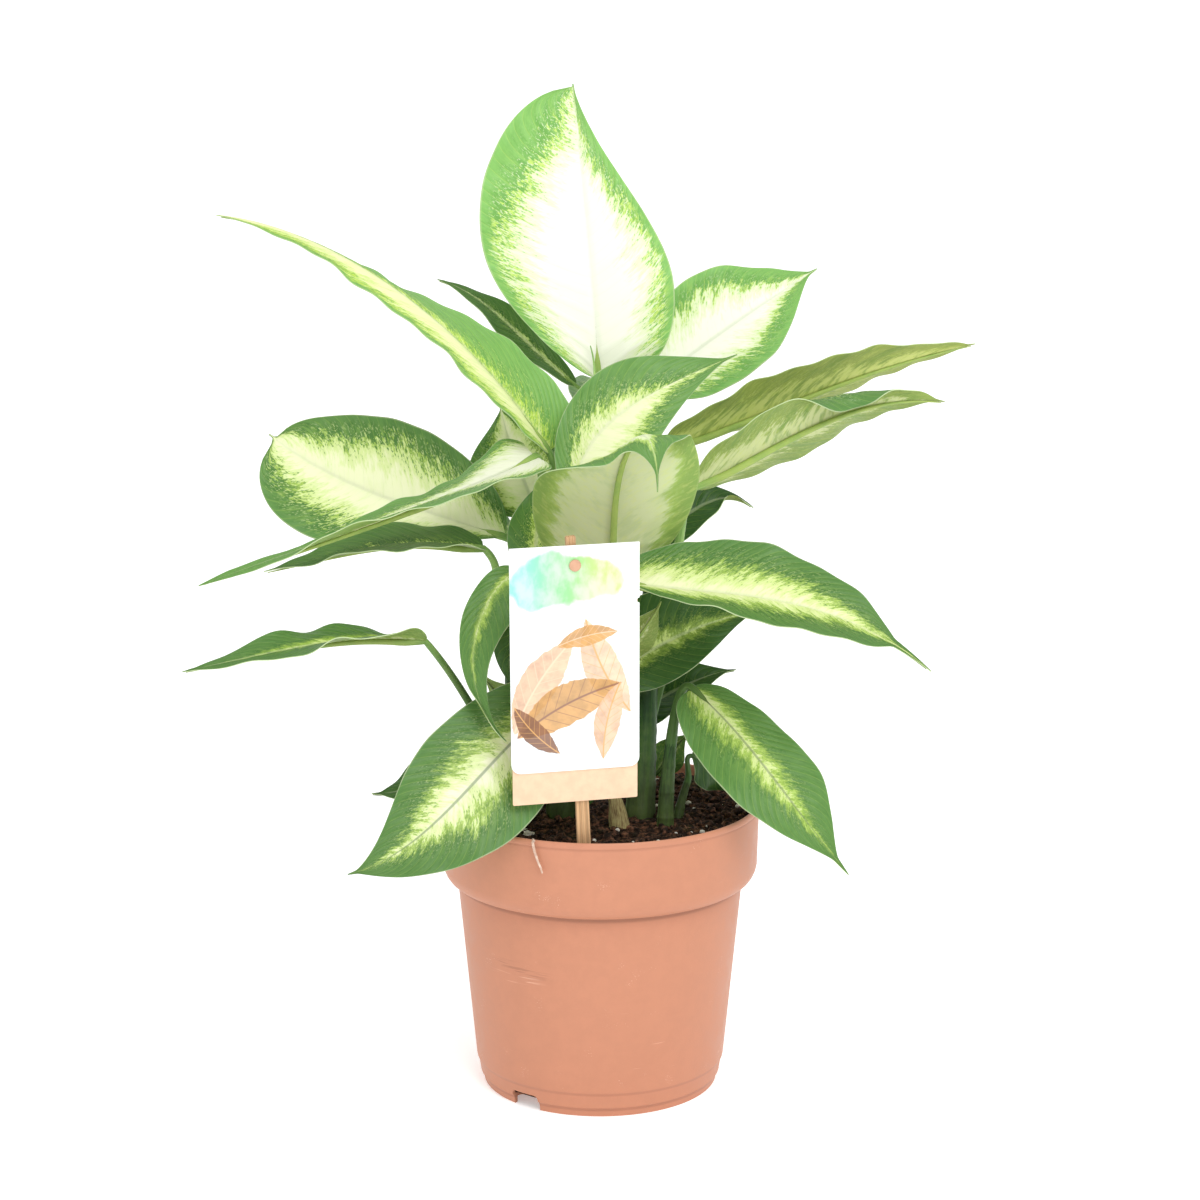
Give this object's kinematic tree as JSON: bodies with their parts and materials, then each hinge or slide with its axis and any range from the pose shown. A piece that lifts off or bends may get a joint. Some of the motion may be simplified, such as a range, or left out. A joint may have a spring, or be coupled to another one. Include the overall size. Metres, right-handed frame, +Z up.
{
  "type": "potted dieffenbachia",
  "caption": "Potted dieffenbachia with cream-variegated leaves on sheathed canes, in a terracotta-coloured nursery pot with a plant label on a wooden stake.",
  "frame": {"origin": "centre of the pot's flat base, on the floor", "axes": "+Z up; -Y is the front, where the plant label stands; +X is the viewer's right"},
  "size_m": [0.4076, 0.2503, 0.5273],
  "materials": {
    "pot_plastic": "satin terracotta-coloured plastic",
    "peat": "matte, moist",
    "cane": "satin",
    "dried_sheath": "matte, papery",
    "leaf": "satin, green and cream",
    "young_leaf": "satin",
    "stake_wood": "raw, grooved",
    "tan_card": "matte",
    "printed_card": "semi-gloss",
    "pin_plastic": "satin"
  },
  "bodies": {
    "root": {"pot": "pot_plastic", "potting_mix": "peat", "shoot_tall": "cane", "shoot_left": "cane", "shoot_right": "cane", "shoot_right_front": "cane", "shoot_small": "cane", "dry_sheath_stub": "dried_sheath", "leaf_top": "leaf", "leaf_upper_right": "leaf", "leaf_centre": "leaf", "leaf_centre_low": "leaf", "leaf_front_arch": "leaf", "leaf_long_upper_left": "leaf", "leaf_left_broad": "leaf", "leaf_left_front_narrow": "leaf", "leaf_left_lower": "leaf", "leaf_left_behind": "leaf", "leaf_left_mid": "leaf", "leaf_left_inner": "leaf", "leaf_left_back": "leaf", "leaf_left_low": "leaf", "leaf_lower_left_front": "leaf", "leaf_lower_left_small": "leaf", "leaf_right_mid": "leaf", "leaf_right_under": "leaf", "leaf_right_inner": "leaf", "leaf_right_dark": "leaf", "leaf_lower_right_front": "leaf", "leaf_right_low_small": "leaf", "leaf_lower_right_small": "leaf", "leaf_long_right_upper": "leaf", "leaf_long_right_lower": "leaf", "leaf_right_small": "leaf", "leaf_upper_left_small": "leaf", "leaf_back_high": "leaf", "leaf_back_left": "leaf", "leaf_back_right": "leaf", "leaf_back_low": "leaf", "new_leaf_spear": "young_leaf", "label_stake": "stake_wood", "label_backing_card": "tan_card", "label_front_card": "printed_card", "label_pin": "pin_plastic"}
  },
  "joints": []
}
